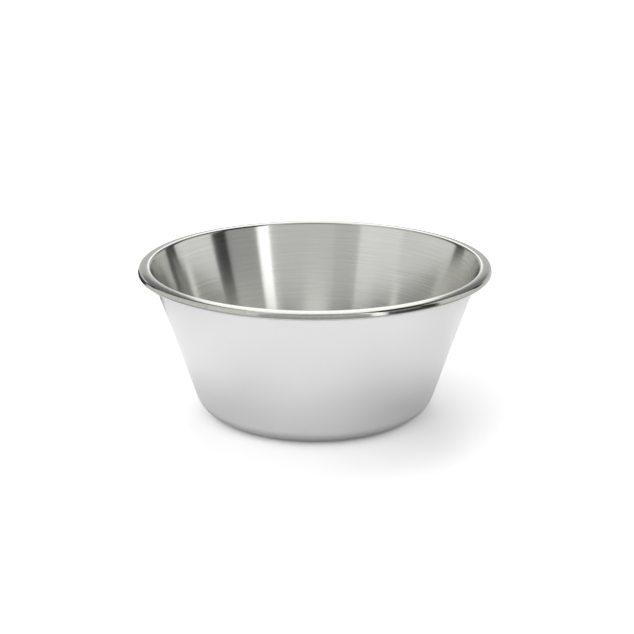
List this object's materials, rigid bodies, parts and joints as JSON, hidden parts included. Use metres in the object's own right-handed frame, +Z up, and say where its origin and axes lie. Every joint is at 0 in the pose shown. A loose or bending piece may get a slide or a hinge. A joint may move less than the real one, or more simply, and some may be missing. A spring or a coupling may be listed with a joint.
{
  "type": "mixing bowl",
  "caption": "Conical stainless steel mixing bowl with a flat base, a rounded corner, a brushed inside and a wide rim folded over a wire, for mixing, beating and holding food.",
  "frame": {"origin": "centre of the underside of the flat base, where the bowl stands on the table", "axes": "+Z up along the bowl's axis, through the open mouth; X and Y are level, and the butted ends of the rim wire are at +Y"},
  "size_m": [0.24, 0.24, 0.104],
  "materials": {
    "bowl_steel": "fine brushing round the inside, bright rim, smooth satin outside",
    "wire_steel": "drawn steel wire"
  },
  "bodies": {
    "root": {"bowl_shell": "bowl_steel", "rim_wire": "wire_steel"}
  },
  "joints": []
}
